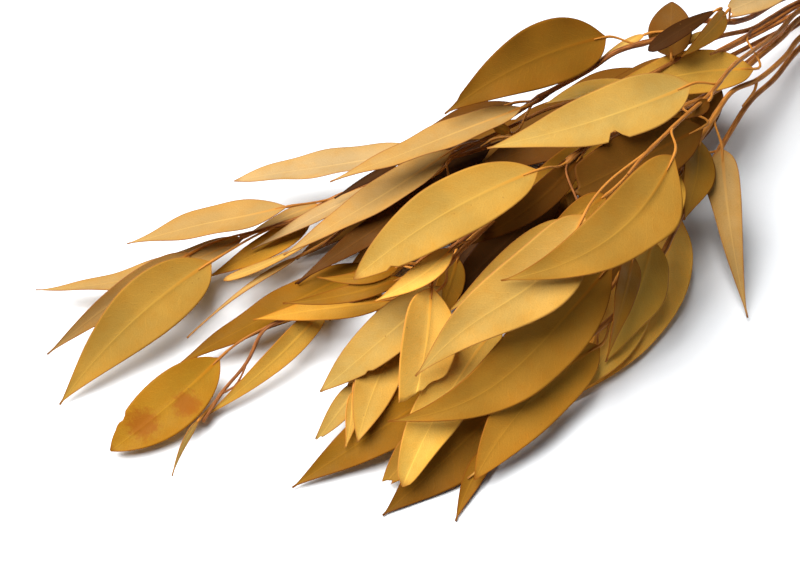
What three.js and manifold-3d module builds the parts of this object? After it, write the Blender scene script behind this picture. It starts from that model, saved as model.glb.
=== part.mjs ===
// A bunch of dried eucalyptus: ten leafy branches held by a rubber band near their cut ends,
// lying on their side. Millimetres, +Z up. The origin is on the resting surface straight below
// the band. The cut ends point to +X, the leaves to -X, and -Y is the front.
import * as THREE from 'three';
import { mergeVertices } from 'three/addons/utils/BufferGeometryUtils.js';
import Module from 'manifold-3d';

const wasm = await Module();
wasm.setup();

// Stems in the band: rows like packed logs
const STEM_PITCH = 4; // between the centres of two neighbouring stems
const ROW_RISE = STEM_PITCH * Math.sin(Math.PI / 3);
const HALF_TIE = 12; // the stems run straight this far to both sides of the band's middle
const EASE = 0.2; // part of the way to the first bend where a stem still points nearly straight
const EASE_TURN = 0.05; // how much of the sideways way it has gone there

// Rubber band
const BAND_LENGTH = 9;
const BAND_THICK = 1.5;
const BAND_GAP = 0.35; // between the band and the widest stem
const BAND_ARC_STEPS = 1; // pairs of flats in each rounded corner
const WIDEST_STEM = 1.9; // radius
const BAND_INNER = WIDEST_STEM + BAND_GAP;
const BAND_OUTER = BAND_INNER + BAND_THICK;
const LOWEST_ROW = BAND_OUTER; // height of the lowest stems' centres: the band's underside is at 0

// Stems and twigs
const STEM_SIDES = 5;
const TWIG_SIDES = 4;
const LONG_SPAN = 45; // between two bends farther apart than this the stem gets a ring halfway
const STEM_SAMPLES = 80;
const TWIG_SAMPLES = 24;

// Leaf stalks
const STALK_HALF = 0.65; // half the side of their square section
const STALK_STEPS = 4;
const STALK_BACK = 11; // a stalk leaves the wood this far back from the leaf's nearest point
const STALK_SLANT = 0.3; // and this much more for each millimetre between them
const LEAVING_PULL = 0.35; // how far the stalk keeps the wood's direction, as a part of its reach
const ARRIVING_PULL = 0.4; // and the midrib's direction
const SHORT_WAY = 0.05; // part of the midrib that gives its direction at the base

// Leaves
const BLADE_THICK = 0.72;
const LEAST_HALF_WIDTH = 0.5;
const LONG_LEAF = 80; // a leaf longer than this gets more rows
const ROWS_LONG = 7;
const ROWS_SHORT = 5;
const ROW_SPREAD = 1.25; // rows stand closer near the base
const OUTLINE = [0.65, 1.25]; // powers of the outline at the base and the tip

const WOOD_AND_LEAF = { color: 0xc8963c, roughness: 0.75, metalness: 0 };
const RUBBER = { color: 0xb9824a, roughness: 0.6, metalness: 0 };

const UP = new THREE.Vector3(0, 0, 1);
const TUBE_UP = new THREE.Vector3(0, 0.3, 1); // never along a stem, so that a tube's sides don't twist

// Each branch: its place in the band (column and row), its cut end, the radius of the stem at the
// cut end and at its tip, and the bends of its route after the band. A leaf goes from its base to
// its tip along a straight line that bow lifts and sway and hook bend sideways, all in millimetres.
// roll turns it about that line, in degrees. outline gives the powers of its outline at the base
// and the tip, torn the part that is left of a broken leaf, back where its stalk leaves the wood.
const BRANCHES = [
  {
    name: 'branch_1',
    slot: [0, 2],
    cutEnd: [66, -2, 15],
    radius: [1.9, 0.8],
    route: [
      [-114, -3, 36], [-150, -14, 48], [-190, -25, 66], [-221, -34, 80], [-256, -46, 90],
      [-284, -51, 95], [-325, -58, 98], [-338, -61, 98],
    ],
    twigs: [],
    leaves: [
      { base: [-368, -59, 88], tip: [-483, -53, 46], wide: 36, roll: 28, bow: 8, sway: -5, hook: -4 },
      { base: [-310, -68, 98], tip: [-428, -58, 82], wide: 34, roll: 32, bow: 6, sway: -15 },
      { base: [-258, -35, 92], tip: [-369, 12, 84], wide: 34, roll: 18, bow: 7, sway: -6 },
      { base: [-261, -50, 92], tip: [-276, -47, 86], wide: 8, roll: 40, bow: 2 },
      { base: [-347, -55, 84], tip: [-390, -49, 76], wide: 14, roll: 40, bow: 2 },
    ],
  },
  {
    name: 'branch_2',
    slot: [2, 2],
    cutEnd: [58, 10, 14],
    radius: [1.7, 1.3],
    route: [
      [-127, 2, 50], [-168, -4, 64], [-186, -4, 72], [-208, 5, 80], [-237, 7, 84], [-263, 16, 84],
      [-281, 19, 80], [-306, 26, 74], [-334, 33, 66],
    ],
    twigs: [],
    leaves: [
      { base: [-263, 24, 90], tip: [-369, 45, 86], wide: 36, roll: 38, bow: 6, sway: 6 },
      { base: [-239, 16, 82], tip: [-267, 25, 74], wide: 5, roll: 20, bow: 2 },
      { base: [-234, -1, 73], tip: [-218, 16, 94], wide: 26, roll: 25, bow: 2, outline: [0.6, 0.75] },
      { base: [-207, -8, 97], tip: [-256, -1, 92], wide: 10, roll: 15, bow: 2, outline: [0.9, 0.5] },
      { base: [-201, -10, 92], tip: [-236, -9, 80], wide: 16, roll: 75, bow: 2, outline: [0.35, 1.2] },
      {
        base: [-115, 2, 64], tip: [-191, -1, 80], wide: 18,
        roll: 15, bow: 4, sway: -4, outline: [0.65, 0.5], torn: 0.95,
      },
      { base: [-208, -4, 78], tip: [-231, 2, 74], wide: 5, roll: 20, bow: 1 },
      { base: [-323, 36, 70], tip: [-394, 62, 58], wide: 24, roll: -28, bow: 3, sway: 2 },
      { base: [-328, 25, 78], tip: [-434, 67, 62], wide: 22, roll: -8, bow: 5, sway: -5 },
      { base: [-339, 24, 66], tip: [-346, 35, 76], wide: 7, roll: 70, bow: 2 },
    ],
  },
  {
    name: 'branch_3',
    slot: [3, 1],
    cutEnd: [72, 15, 10],
    radius: [1.7, 0.9],
    route: [
      [-94, 10, 20], [-131, 7, 28], [-191, 9, 36], [-267, 20, 42], [-331, 38, 42], [-387, 61, 39],
      [-423, 76, 34], [-445, 81, 30], [-477, 96, 26],
    ],
    twigs: [],
    leaves: [
      {
        base: [-449, 86, 38], tip: [-527, 133, 28], wide: 26,
        roll: -8, bow: 4, sway: -3, outline: [0.85, 1.35], back: 25,
      },
      { base: [-472, 98, 20], tip: [-576, 156, 8], wide: 24, roll: -15, bow: 2, sway: -15 },
      { base: [-502, 108, 22], tip: [-599, 114, 9], wide: 16, roll: 44, bow: 3, sway: 3 },
      { base: [-501, 91, 28], tip: [-612, 87, 2], wide: 34, roll: 34, bow: 6, sway: 6 },
      { base: [-438, 79, 26], tip: [-501, 98, 8], wide: 17, roll: 5, bow: 3, sway: -4 },
      { base: [-442, 69, 20], tip: [-500, 83, 18], wide: 6, bow: 2, sway: -3, outline: [1.3, 0.45] },
      { base: [-427, 85, 24], tip: [-469, 101, 16], wide: 9, bow: 2 },
      { base: [-402, 65, 38], tip: [-476, 87, 22], wide: 15, roll: -20, bow: 3, sway: -5 },
      { base: [-330, 46, 37], tip: [-425, 54, 19], wide: 26, roll: -5, bow: 5 },
    ],
  },
  {
    name: 'branch_4',
    slot: [1, 1],
    cutEnd: [55, 5, 11],
    radius: [1.7, 0.7],
    route: [
      [-106, 4, 33], [-140, -1, 45], [-165, -5, 54], [-198, -3, 66], [-223, -2, 68], [-255, 3, 66],
      [-279, 11, 64], [-304, 26, 60], [-325, 33, 56], [-356, 43, 50], [-393, 54, 42], [-429, 56, 34],
      [-448, 59, 26],
    ],
    twigs: [
      {
        radius: [1.1, 0.7],
        route: [[-165, -5, 54], [-177, -11, 60], [-200, -14, 67], [-215, -14, 72]],
      },
    ],
    leaves: [
      { base: [-249, 5, 54], tip: [-299, 35, 54], wide: 29, roll: -20, bow: 3, sway: 1 },
      { base: [-195, -32, 60], tip: [-287, 13, 60], wide: 28, roll: 20, bow: 3, sway: 5 },
      { base: [-367, 40, 60], tip: [-468, 69, 26], wide: 23, roll: -5, bow: 4, sway: -4 },
      {
        base: [-365, 55, 46], tip: [-451, 132, 24], wide: 30,
        roll: -18, bow: 3, sway: -2, outline: [0.65, 0.85],
      },
      { base: [-388, 62, 47], tip: [-428, 71, 41], wide: 5, roll: 20, bow: 2 },
      { base: [-372, 45, 42], tip: [-473, 52, 20], wide: 6, roll: 8, bow: 4, sway: -3 },
      { base: [-379, 34, 44], tip: [-477, 49, 26], wide: 16, roll: 12, bow: 3 },
      {
        base: [-457, 70, 15], tip: [-536, 72, 8], wide: 5,
        roll: -10, bow: 3, sway: 1, outline: [0.5, 1.8],
      },
      { base: [-299, -15, 62], tip: [-392, -8, 48], wide: 22, roll: 30, bow: 4 },
      { base: [-277, -7, 61], tip: [-366, 29, 47], wide: 30, roll: 10, bow: 4 },
    ],
  },
  {
    name: 'branch_5',
    slot: [-1, 1],
    cutEnd: [68, -5, 9],
    radius: [1.7, 0.8],
    route: [
      [-109, -2, 22], [-214, -11, 34], [-296, -8, 38], [-369, 0, 40], [-421, 1, 41], [-453, 7, 36],
      [-481, 27, 26], [-498, 38, 21], [-507, 41, 18], [-526, 33, 14], [-547, 29, 10], [-565, 23, 7],
    ],
    twigs: [
      {
        radius: [0.6, 0.6],
        route: [[-526, 33, 14], [-531, 30, 13], [-540, 27, 11], [-548, 29, 10]],
      },
    ],
    leaves: [
      { base: [-449, 1, 32], tip: [-508, 48, 22], wide: 15, roll: 20, bow: 4, sway: -1 },
      { base: [-434, 35, 20], tip: [-554, 61, 8], wide: 24, roll: -2, bow: 3 },
      {
        base: [-470, 30, 20], tip: [-560, 26, 5], wide: 14,
        roll: 40, bow: 4, sway: -2, outline: [0.5, 1.1],
      },
      {
        base: [-535, 44, 16], tip: [-612, 42, 6], wide: 31,
        roll: 22, bow: 4, sway: -2, outline: [0.75, 0.8], back: 30,
      },
      { base: [-567, 24, 9], tip: [-597, 10, 2], wide: 5, roll: 70, bow: 1, sway: 4 },
      { base: [-334, -12, 44], tip: [-444, -19, 28], wide: 24, roll: 28, bow: 4 },
      { base: [-230, -6, 44], tip: [-335, -22, 32], wide: 32, roll: 15, bow: 5 },
      { base: [-330, -12, 38], tip: [-430, -30, 22], wide: 30, roll: 20, bow: 5 },
    ],
  },
  {
    name: 'branch_6',
    slot: [-3, 1],
    cutEnd: [60, -14, 10],
    radius: [1.8, 1.1],
    route: [
      [-123, -13, 26], [-149, -22, 34], [-190, -32, 48], [-215, -33, 56], [-238, -40, 58],
      [-258, -46, 56], [-277, -51, 54], [-311, -66, 50], [-335, -73, 45], [-362, -77, 38],
    ],
    twigs: [
      {
        radius: [1, 0.6],
        route: [[-192, -33, 48], [-197, -36, 47], [-208, -37, 42]],
      },
    ],
    leaves: [
      {
        base: [-249, -56, 50], tip: [-298, -125, 3], wide: 17,
        roll: -15, bow: 5, sway: 2, outline: [0.35, 1.25],
      },
      { base: [-259, -47, 58], tip: [-300, -74, 44], wide: 26, roll: 45, bow: 3 },
      { base: [-358, -73, 54], tip: [-507, -58, 34], wide: 38, roll: 36, bow: 6, sway: -15, hook: 3 },
      { base: [-323, -72, 44], tip: [-385, -98, 14], wide: 34, roll: 45, bow: 5, outline: [0.5, 1.25] },
      {
        base: [-344, -76, 50], tip: [-399, -109, 38], wide: 18,
        roll: 50, bow: 3, sway: 2, outline: [0.4, 1.4],
      },
      { base: [-288, -58, 59], tip: [-360, -75, 51], wide: 25, roll: 30, bow: 4 },
    ],
  },
  {
    name: 'branch_7',
    slot: [-2, 0],
    cutEnd: [74, -10, 5],
    radius: [1.8, 1.1],
    route: [
      [-121, -13, 16], [-162, -25, 25], [-192, -31, 31], [-228, -43, 33], [-279, -61, 34],
      [-345, -84, 30], [-409, -86, 26], [-444, -81, 22],
    ],
    twigs: [],
    leaves: [
      {
        base: [-288, -62, 28], tip: [-420, -93, 3], wide: 38,
        roll: 30, bow: 3, sway: -10, outline: [0.45, 1],
      },
      { base: [-333, -70, 32], tip: [-410, -98, 7], wide: 29, roll: 35, bow: 3, sway: -7 },
      {
        base: [-384, -92, 22], tip: [-487, -102, 9], wide: 35,
        roll: 36, bow: 3, sway: 8, outline: [0.65, 0.9],
      },
      { base: [-391, -94, 12], tip: [-487, -97, 3], wide: 11, roll: 25, bow: 2, sway: -1 },
      {
        base: [-462, -91, 4], tip: [-508, -110, 1], wide: 11,
        roll: 15, bow: 0.5, sway: 2, outline: [0.6, 1.25],
      },
      { base: [-441, -78, 12], tip: [-533, -82, 1], wide: 35, roll: 26, bow: 2, sway: -1 },
      {
        base: [-418, -50, 33], tip: [-519, -82, 13], wide: 28,
        roll: 32, bow: 4, sway: 5, outline: [0.5, 0.5],
      },
      { base: [-459, -54, 18], tip: [-556, -38, 2], wide: 28, roll: 20, bow: 3 },
      { base: [-483, -66, 12], tip: [-526, -71, 4], wide: 18, roll: 25, bow: 2, torn: 0.85 },
      { base: [-258, -38, 34], tip: [-355, -62, 8], wide: 34, roll: 25, bow: 5 },
    ],
  },
  {
    name: 'branch_8',
    slot: [-2, 2],
    cutEnd: [62, -10, 15],
    radius: [1.8, 1.1],
    route: [
      [-115, -5, 31], [-143, -13, 39], [-170, -18, 45], [-215, -24, 52], [-274, -22, 64],
      [-328, -21, 80], [-345, -20, 76], [-387, -16, 66], [-426, -19, 62], [-438, -15, 48],
      [-454, -16, 32], [-464, -19, 23],
    ],
    twigs: [
      {
        radius: [0.9, 0.9],
        route: [[-426, -19, 62], [-433, -19, 61], [-445, -22, 64]],
      },
    ],
    leaves: [
      { base: [-449, -7, 57], tip: [-501, 30, 46], wide: 10, roll: 25, bow: 2, sway: -3 },
      { base: [-446, -2, 60], tip: [-480, 26, 54], wide: 8, roll: 30, bow: 3, sway: -4 },
      { base: [-263, -51, 74], tip: [-397, -26, 72], wide: 33, roll: 35, bow: 4, torn: 0.64 },
      {
        base: [-366, -23, 92], tip: [-478, -1, 74], wide: 33,
        roll: 22, bow: 7, sway: 4, outline: [0.6, 0.8],
      },
      { base: [-426, -21, 74], tip: [-473, -12, 62], wide: 13, roll: 18, bow: 3, sway: -3 },
      { base: [-444, -24, 60], tip: [-505, -68, 27], wide: 34, roll: 38, bow: 4, sway: -4, torn: 0.72 },
      {
        base: [-433, -21, 49], tip: [-513, -12, 20], wide: 27,
        roll: 6, bow: 4, sway: -2, outline: [0.65, 0.95],
      },
      {
        base: [-462, -17, 26], tip: [-519, -48, 19], wide: 23,
        roll: 10, bow: 3, sway: 2, outline: [0.6, 0.95],
      },
      { base: [-502, -26, 24], tip: [-524, -44, 13], wide: 8, roll: 35, bow: 2 },
      { base: [-492, -22, 20], tip: [-534, -29, 8], wide: 12, roll: 20, bow: 2, torn: 0.88 },
      { base: [-329, -22, 78], tip: [-417, -11, 58], wide: 16, roll: 40, bow: 4, sway: -6 },
      { base: [-363, -47, 70], tip: [-443, -35, 48], wide: 18, roll: 25, bow: 4 },
      { base: [-411, -10, 46], tip: [-446, -27, 28], wide: 16, roll: 35, bow: 2 },
    ],
  },
  {
    name: 'branch_9',
    slot: [0, 0],
    cutEnd: [70, 1, 4],
    radius: [1.7, 0.9],
    route: [
      [-60, -1, 7], [-120, 3, 19], [-220, 9, 30], [-320, 15, 32], [-420, 15, 25],
    ],
    twigs: [],
    leaves: [
      { base: [-362, 6, 24], tip: [-417, 3, 12], wide: 23, roll: 10, bow: 4 },
      { base: [-190, -2, 29], tip: [-285, -28, 12], wide: 32, roll: 10, bow: 5 },
      { base: [-195, 16, 33], tip: [-290, 32, 18], wide: 28, roll: -8, bow: 5 },
      { base: [-240, -8, 30], tip: [-345, -40, 8], wide: 34, roll: 15, bow: 5 },
      { base: [-262, 28, 36], tip: [-360, 48, 17], wide: 32, roll: -10, bow: 5 },
      { base: [-312, 0, 29], tip: [-415, -24, 6], wide: 34, roll: 10, bow: 5 },
      { base: [-342, 30, 32], tip: [-440, 46, 11], wide: 30, roll: -5, bow: 5 },
      { base: [-402, 4, 25], tip: [-500, -14, 4], wide: 30, roll: 10, bow: 5 },
    ],
  },
  {
    name: 'branch_10',
    slot: [2, 0],
    cutEnd: [60, 9, 6],
    radius: [1.7, 0.9],
    route: [
      [-60, 10, 7], [-120, 17, 9], [-220, 30, 12], [-320, 44, 12], [-400, 54, 9],
    ],
    twigs: [],
    leaves: [
      { base: [-200, 36, 11], tip: [-300, 58, 2], wide: 32, roll: -8, bow: 5 },
      { base: [-232, 24, 12], tip: [-330, 20, 4], wide: 28, roll: 5, bow: 5 },
      { base: [-282, 50, 12], tip: [-375, 70, 2], wide: 32, roll: -8, bow: 5 },
      { base: [-312, 36, 12], tip: [-410, 34, 4], wide: 28, roll: 5, bow: 5 },
      { base: [-362, 62, 10], tip: [-452, 78, 2], wide: 30, roll: -6, bow: 5 },
      { base: [-385, 46, 9], tip: [-468, 32, 2], wide: 28, bow: 4 },
    ],
  },
];

function vector(values) {
  return new THREE.Vector3(...values);
}

// Closed mesh to solid, and solid to flat-shaded mesh
function solidOf(geometry) {
  geometry.deleteAttribute('normal');
  geometry.deleteAttribute('uv');
  const merged = mergeVertices(geometry);
  return new wasm.Manifold(new wasm.Mesh({
    numProp: 3,
    vertProperties: new Float32Array(merged.getAttribute('position').array),
    triVerts: new Uint32Array(merged.getIndex().array),
  }));
}

function geometryOf(solid) {
  const mesh = solid.getMesh();
  const geometry = new THREE.BufferGeometry();
  geometry.setAttribute('position', new THREE.BufferAttribute(mesh.vertProperties, 3));
  geometry.setIndex(new THREE.BufferAttribute(mesh.triVerts, 1));
  geometry.computeVertexNormals();
  return geometry;
}

function stemPlace([column, row]) {
  return { y: (column * STEM_PITCH) / 2, z: LOWEST_ROW + row * ROW_RISE };
}

function curveThrough(points) {
  return new THREE.CatmullRomCurve3(points, false, 'centripetal');
}

// The stem's points: cut end, straight through the band, an easy start, then its bends
function stemPoints(branch) {
  const { y, z } = stemPlace(branch.slot);
  const first = vector(branch.route[0]);
  const ease = new THREE.Vector3(
    -HALF_TIE + (first.x + HALF_TIE) * EASE,
    y + (first.y - y) * EASE_TURN,
    z + (first.z - z) * EASE_TURN,
  );
  return [
    vector(branch.cutEnd),
    new THREE.Vector3(HALF_TIE, y, z),
    new THREE.Vector3(-HALF_TIE, y, z),
    ease,
    ...branch.route.map(vector),
  ];
}

// Points on the curve at every bend, and halfway between two that stand far apart
function stations(points) {
  const curve = curveThrough(points);
  const spans = points.length - 1;
  const places = [0];
  for (let span = 0; span < spans; span += 1) {
    if (points[span].distanceTo(points[span + 1]) > LONG_SPAN) {
      places.push(span + 0.5);
    }
    places.push(span + 1);
  }
  return places.map((place) => curve.getPoint(place / spans));
}

// A closed tube along points: a cylinder bent to follow them
function tube(points, [startRadius, endRadius], sides) {
  const last = points.length - 1;
  const geometry = new THREE.CylinderGeometry(1, 1, 1, sides, last);
  const rings = points.map((centre, i) => {
    const along = points[Math.min(i + 1, last)].clone().sub(points[Math.max(i - 1, 0)]).normalize();
    const side = new THREE.Vector3().crossVectors(along, TUBE_UP).normalize();
    const rise = new THREE.Vector3().crossVectors(side, along);
    return { centre, side, rise, radius: THREE.MathUtils.lerp(startRadius, endRadius, i / last) };
  });
  const position = geometry.getAttribute('position');
  for (let k = 0; k < position.count; k += 1) {
    const { centre, side, rise, radius } = rings[Math.round((position.getY(k) + 0.5) * last)];
    const point = centre.clone()
      .addScaledVector(side, radius * position.getX(k))
      .addScaledVector(rise, radius * position.getZ(k));
    position.setXYZ(k, point.x, point.y, point.z);
  }
  return solidOf(geometry);
}

// A leaf's own directions: along it, across it and square to its face
function leafFrame(leaf) {
  const base = vector(leaf.base);
  const span = vector(leaf.tip).sub(base);
  const along = span.clone().normalize();
  const across = new THREE.Vector3().crossVectors(along, UP).normalize();
  const face = new THREE.Vector3().crossVectors(across, along);
  const turn = -THREE.MathUtils.degToRad(leaf.roll ?? 0);
  across.applyAxisAngle(along, turn);
  face.applyAxisAngle(along, turn);
  return { base, span, along, across, face, length: span.length() };
}

// Point of the midrib, s from 0 at the base to 1 at the tip
function midrib(leaf, frame, s) {
  const arch = 4 * s * (1 - s);
  const sideways = (leaf.sway ?? 0) * arch + (leaf.hook ?? 0) * Math.sin(2 * Math.PI * s);
  return frame.base.clone()
    .addScaledVector(frame.span, s)
    .addScaledVector(frame.face, (leaf.bow ?? 0) * arch)
    .addScaledVector(frame.across, sideways);
}

function halfWidth(leaf, s) {
  const [atBase, atTip] = leaf.outline ?? OUTLINE;
  const widest = atBase / (atBase + atTip);
  const share = (s / widest) ** atBase * ((1 - s) / (1 - widest)) ** atTip;
  return Math.max((leaf.wide / 2) * share, LEAST_HALF_WIDTH);
}

// The point of the wood nearest to a leaf's base, as a place on one of the branch's lines
function nearestWood(base, lines) {
  let best = { gap: Infinity };
  for (const line of lines) {
    line.forEach((point, i) => {
      const gap = point.distanceTo(base);
      if (gap < best.gap) {
        best = { gap, line, i };
      }
    });
  }
  return best;
}

// The line of a leaf's stalk: it leaves the wood some way back, at a slant, and runs into the midrib
function stalkCurve(leaf, frame, lines) {
  const { gap, line, i } = nearestWood(frame.base, lines);
  let back = (leaf.back ?? STALK_BACK) + STALK_SLANT * gap;
  let root = Math.min(i, line.length - 2);
  while (root > 1 && back > 0) {
    back -= line[root].distanceTo(line[root - 1]);
    root -= 1;
  }
  const leaving = line[root + 1].clone().sub(line[root - 1]).normalize();
  const arriving = midrib(leaf, frame, SHORT_WAY).sub(frame.base).normalize();
  const reach = line[root].distanceTo(frame.base);
  return new THREE.CubicBezierCurve3(
    line[root],
    line[root].clone().addScaledVector(leaving, reach * LEAVING_PULL),
    frame.base.clone().addScaledVector(arriving, -reach * ARRIVING_PULL),
    frame.base,
  );
}

// The cross lines of a stalk from the wood to the leaf's base, turned along the bend from the
// directions that the blade has there
function stalkRows(leaf, frame, lines) {
  const curve = stalkCurve(leaf, frame, lines);
  const rows = [];
  const heading = frame.along.clone();
  const across = frame.across.clone();
  const face = frame.face.clone();
  for (let step = STALK_STEPS - 1; step >= 0; step -= 1) {
    const tangent = curve.getTangent(step / STALK_STEPS);
    const bend = new THREE.Quaternion().setFromUnitVectors(heading, tangent);
    heading.copy(tangent);
    across.applyQuaternion(bend);
    face.applyQuaternion(bend);
    rows.unshift({
      centre: curve.getPoint(step / STALK_STEPS),
      across: across.clone(),
      face: face.clone(),
      half: STALK_HALF,
      thick: 2 * STALK_HALF,
    });
  }
  return rows;
}

function bladeRows(leaf, frame) {
  const count = frame.length > LONG_LEAF ? ROWS_LONG : ROWS_SHORT;
  const rows = [];
  for (let row = 0; row <= count; row += 1) {
    const s = (leaf.torn ?? 1) * (row / count) ** ROW_SPREAD;
    rows.push({
      centre: midrib(leaf, frame, s),
      across: frame.across,
      face: frame.face,
      half: halfWidth(leaf, s),
      thick: BLADE_THICK,
    });
  }
  return rows;
}

// A leaf with its stalk, as a thin closed solid: one sheet of triangles used alike for both faces,
// and a rim between them
function leafSolid(leaf, lines) {
  const frame = leafFrame(leaf);
  const rows = [...stalkRows(leaf, frame, lines), ...bladeRows(leaf, frame)];
  const last = rows.length - 1;
  const sheet = new THREE.PlaneGeometry(2, 1, 1, last);
  const flat = sheet.getAttribute('position');
  const count = flat.count;
  const corners = [];
  for (const faceSide of [-1, 1]) {
    for (let k = 0; k < count; k += 1) {
      const { centre, across, face, half, thick } = rows[Math.round((0.5 - flat.getY(k)) * last)];
      const point = centre.clone()
        .addScaledVector(across, half * flat.getX(k))
        .addScaledVector(face, (faceSide * thick) / 2);
      corners.push(point.x, point.y, point.z);
    }
  }
  const under = Array.from(sheet.getIndex().array);
  const upper = under.map((k) => k + count).reverse();
  const downOneEdge = rows.map((row, i) => 2 * i);
  const upTheOther = rows.map((row, i) => 2 * i + 1).reverse();
  const rim = [...downOneEdge, ...upTheOther];
  const edge = rim.flatMap((k, i) => {
    const next = rim[(i + 1) % rim.length];
    return [next, k, k + count, next, k + count, next + count];
  });
  const geometry = new THREE.BufferGeometry();
  geometry.setAttribute('position', new THREE.Float32BufferAttribute(corners, 3));
  geometry.setIndex([...under, ...upper, ...edge]);
  return solidOf(geometry);
}

function branchMesh(branch) {
  const points = stemPoints(branch);
  const lines = [curveThrough(points).getPoints(STEM_SAMPLES)];
  const parts = [tube(stations(points), branch.radius, STEM_SIDES)];
  for (const twig of branch.twigs) {
    const bends = twig.route.map(vector);
    lines.push(curveThrough(bends).getPoints(TWIG_SAMPLES));
    parts.push(tube(stations(bends), twig.radius, TWIG_SIDES));
  }
  for (const leaf of branch.leaves) {
    parts.push(leafSolid(leaf, lines));
  }
  const solid = parts.reduce((whole, part) => whole.add(part));
  const mesh = new THREE.Mesh(geometryOf(solid), new THREE.MeshStandardMaterial(WOOD_AND_LEAF));
  mesh.name = branch.name;
  return mesh;
}

// The loop of the stretched band round the outer stems, as straight runs and arcs
const OUTER_SLOTS = [[2, 0], [3, 1], [2, 2], [-2, 2], [-3, 1], [-2, 0]];
const FIRST_ARC = -Math.PI / 2;
const ARC_ENDS = [-30, 30, 90, 150, 210, 270].map(THREE.MathUtils.degToRad);

function bandLoop(outline, radius) {
  let from = FIRST_ARC;
  OUTER_SLOTS.forEach((slot, i) => {
    const { y, z } = stemPlace(slot);
    outline.absarc(y, z, radius, from, ARC_ENDS[i], false);
    from = ARC_ENDS[i];
  });
  return outline;
}

function bandMesh() {
  const outline = bandLoop(new THREE.Shape(), BAND_OUTER);
  outline.holes.push(bandLoop(new THREE.Path(), BAND_INNER));
  const geometry = new THREE.ExtrudeGeometry(outline, {
    depth: BAND_LENGTH,
    bevelEnabled: false,
    curveSegments: BAND_ARC_STEPS,
  });
  geometry.translate(0, 0, -BAND_LENGTH / 2);
  geometry.applyMatrix4(new THREE.Matrix4().makeBasis(
    new THREE.Vector3(0, 1, 0),
    new THREE.Vector3(0, 0, 1),
    new THREE.Vector3(1, 0, 0),
  ));
  const mesh = new THREE.Mesh(geometryOf(solidOf(geometry)), new THREE.MeshStandardMaterial(RUBBER));
  mesh.name = 'rubber_band';
  return mesh;
}

const bunch = new THREE.Group();
bunch.name = 'dried_eucalyptus_bunch';
bunch.add(...BRANCHES.map(branchMesh), bandMesh());

export default bunch;
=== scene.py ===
# A bunch of dried eucalyptus: fine wood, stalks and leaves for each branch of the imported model,
# and the rubber band that ties them. Lengths are in millimetres until a mesh is built.
import math

import bpy
import numpy as np
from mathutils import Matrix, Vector


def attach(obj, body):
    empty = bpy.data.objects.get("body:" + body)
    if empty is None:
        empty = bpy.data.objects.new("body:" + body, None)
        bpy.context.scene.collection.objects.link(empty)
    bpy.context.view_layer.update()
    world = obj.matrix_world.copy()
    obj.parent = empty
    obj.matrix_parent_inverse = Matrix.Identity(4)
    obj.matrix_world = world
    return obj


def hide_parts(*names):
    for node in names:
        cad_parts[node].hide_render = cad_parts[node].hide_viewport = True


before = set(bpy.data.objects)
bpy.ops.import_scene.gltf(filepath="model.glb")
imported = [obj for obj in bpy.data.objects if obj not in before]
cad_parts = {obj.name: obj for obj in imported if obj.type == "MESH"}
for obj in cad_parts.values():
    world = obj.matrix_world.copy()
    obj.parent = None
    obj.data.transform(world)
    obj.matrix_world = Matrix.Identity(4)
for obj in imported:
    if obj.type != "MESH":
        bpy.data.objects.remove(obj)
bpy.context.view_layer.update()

MM = 0.001
UP = np.array([0.0, 0.0, 1.0])

# Stems in the band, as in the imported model
STEM_PITCH = 4.0
ROW_RISE = STEM_PITCH * math.sin(math.pi / 3)
HALF_TIE = 12.0
EASE = 0.2
EASE_TURN = 0.05
WIDEST_STEM = 1.9
BAND_GAP = 0.35
BAND_THICK = 1.5
LOWEST_ROW = WIDEST_STEM + BAND_GAP + BAND_THICK
STEM_SAMPLES = 80
TWIG_SAMPLES = 24

# Leaf stalks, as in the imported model
STALK_BACK = 11.0
STALK_SLANT = 0.3
LEAVING_PULL = 0.35
ARRIVING_PULL = 0.4
SHORT_WAY = 0.05

# Leaf outlines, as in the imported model
LEAST_HALF_WIDTH = 0.5
OUTLINE = (0.65, 1.25)

# Finer form
RING_STEP = 3.5
WOOD_SIDES = 10
STALK_SIDES = 8
STALK_RINGS = 12
LEAF_THICK = 0.36
LEAF_ROWS = 44
MIDRIB_HALF = 0.75
MIDRIB_RISE = 0.22
FOLD = 0.1
CURL = 0.06
FOOT_NARROW = 0.8
FOOT_REACH = 0.03
LOBE_PLACE = 0.14
LOBE_REACH = 0.16
WAVE = 1.0
JAG = 0.045
TEAR_TURNS = 6
THICKER = 0.14
TIED_LENGTH = 90.0
COLUMNS = (0.0, 0.18, 0.38, 0.58, 0.78, 0.92, 1.0)
ROW_SPREAD = 1.25
MIDRIB_TAPER = 1.15
MIDRIB_SHARE = 0.4
LEAST_RIB_HALF = 0.05
RISE_TAPER = 1.1
FOLD_ROUND = 0.02
CURL_RANGE = (0.2, 1.4)
CURL_LEVEL = 0.33
FULL_TURN = 6.28
WAVE_RANGE = (0.6, 1.2)
WAVE_WIDTH = 34
WIDEST_WAVE = 1.2
WAVE_LENGTHS = (34, 52)
WAVE_ENDS = 0.7
WAVE_GROWTH = 1.8
DRIFT = 0.5
DRIFT_WAVES = 1.4
TWIST = 5
TWIST_START = 0.35
TEAR_SLANT = 0.05
SLANT_GROWTH = 6
JAG_GROWTH = 12
STALK_RADIUS = 0.66
ROOT_SWELL = 0.42
ROOT_REACH = 3.5
LEAF_SWELL = 0.22
LEAF_REACH = 6
SUNK_PLACES = (0.035, 0.08)
SUNK_RADII = (0.6, 0.25)
KNOT_SWELL = 0.22
KNOT_REACH = 3.2

# Looks of a leaf where its row says nothing else
TONE_RANGE = (0.93, 1.07)
SPOTS = 0.35

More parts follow.
